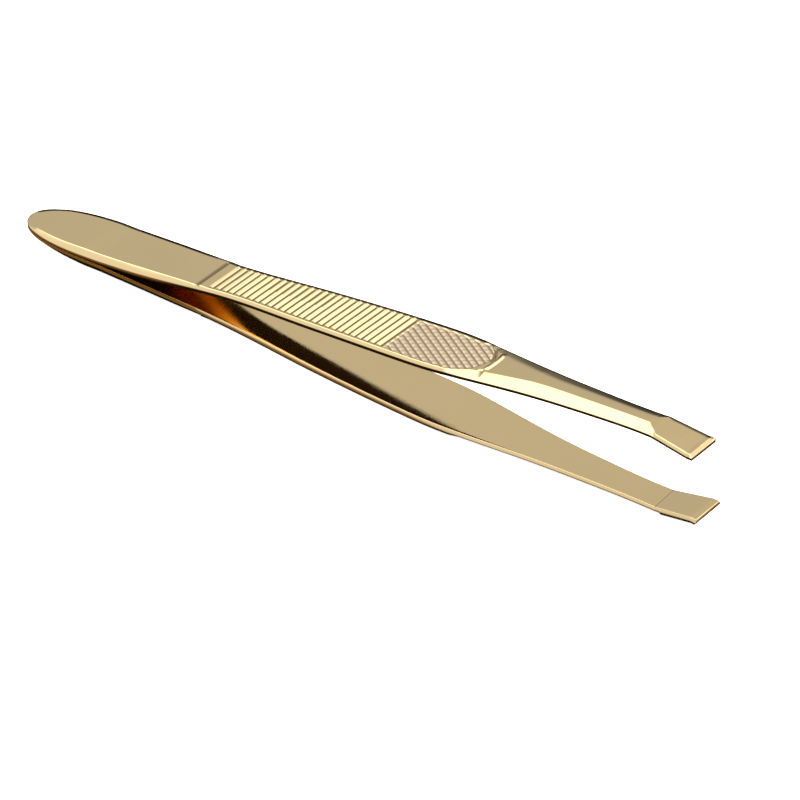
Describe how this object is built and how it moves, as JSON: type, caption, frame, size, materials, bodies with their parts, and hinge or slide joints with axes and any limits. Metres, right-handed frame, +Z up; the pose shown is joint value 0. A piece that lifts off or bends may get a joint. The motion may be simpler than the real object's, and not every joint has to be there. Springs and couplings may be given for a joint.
{
  "type": "tweezers",
  "caption": "Gold-tone steel tweezers with ribbed and cross-hatched grips, a welded tail and flat paddle tips that spring open.",
  "frame": {"origin": "bottom centre of the box around the tweezers as they lie on their lower arm", "axes": "+X from the welded tail to the tips, +Y across the arms, +Z up, from the lower arm to the upper arm"},
  "size_m": [0.0942, 0.0078, 0.0113],
  "materials": {
    "gold_coated_steel": "polished pale gold coating over stainless steel",
    "weld_steel": "fused steel, dull"
  },
  "bodies": {
    "welded_tail": {"upper_arm_tail": "gold_coated_steel", "lower_arm_tail": "gold_coated_steel", "spot_weld_front": "weld_steel", "spot_weld_rear": "weld_steel"},
    "upper_blade": {"upper_arm_blade": "gold_coated_steel"},
    "lower_blade": {"lower_arm_blade": "gold_coated_steel"}
  },
  "joints": [
    {"name": "upper_arm_flex", "type": "hinge", "parent": "welded_tail", "child": "upper_blade", "pos_m": [-0.02421, 0, 0.00325], "axis": [0, 1, 0], "range_deg": [0, 2.9], "stiffness_Nm_per_rad": 2},
    {"name": "lower_arm_flex", "type": "hinge", "parent": "welded_tail", "child": "lower_blade", "pos_m": [-0.02405, 0, 0.00069], "axis": [0, -1, 0], "range_deg": [0, 2.9], "stiffness_Nm_per_rad": 2}
  ],
  "couplings": [
    {"joint": "lower_arm_flex", "follows": "upper_arm_flex", "ratio": 1}
  ]
}
